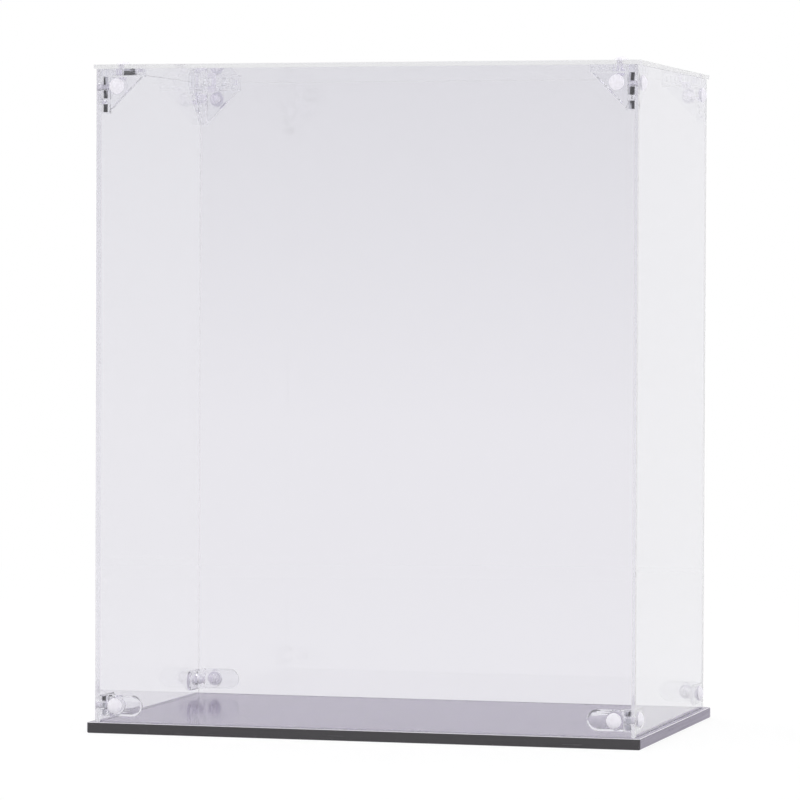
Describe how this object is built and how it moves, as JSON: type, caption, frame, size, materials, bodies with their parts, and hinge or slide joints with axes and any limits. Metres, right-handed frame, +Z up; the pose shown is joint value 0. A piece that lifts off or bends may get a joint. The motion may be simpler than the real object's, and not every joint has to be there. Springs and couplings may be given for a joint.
{
  "type": "display case",
  "caption": "Tall clear display case: a five-panel cover joined by riveted corner brackets stands in a groove on a black base plate and lifts off.",
  "frame": {"origin": "centre of the underside of the base plate", "axes": "+Z up, front faces -Y, +X to the right as seen from the front"},
  "size_m": [0.26, 0.16, 0.3089],
  "materials": {
    "base_gloss_black": "polished gloss black acrylic sheet",
    "clear_sheet": "clear polished acrylic sheet",
    "clear_moulding": "clear injection-moulded plastic",
    "milky_rivet": "milky translucent moulded plastic"
  },
  "bodies": {
    "base": {"base_plate": "base_gloss_black"},
    "cover": {"front_panel": "clear_sheet", "back_panel": "clear_sheet", "left_panel": "clear_sheet", "right_panel": "clear_sheet", "top_panel": "clear_sheet", "top_bracket_front_left": "clear_moulding", "top_bracket_front_right": "clear_moulding", "top_bracket_back_right": "clear_moulding", "top_bracket_back_left": "clear_moulding", "bottom_bracket_front_left": "clear_moulding", "bottom_bracket_front_right": "clear_moulding", "bottom_bracket_back_right": "clear_moulding", "bottom_bracket_back_left": "clear_moulding", "top_rivets_front_left": "milky_rivet", "top_rivets_front_right": "milky_rivet", "top_rivets_back_right": "milky_rivet", "top_rivets_back_left": "milky_rivet", "bottom_rivets_front_left": "milky_rivet", "bottom_rivets_front_right": "milky_rivet", "bottom_rivets_back_right": "milky_rivet", "bottom_rivets_back_left": "milky_rivet"}
  },
  "joints": [
    {"name": "cover_lift", "type": "slide", "parent": "base", "child": "cover", "axis": [0, 0, 1], "range_m": [0, 0.32]}
  ]
}
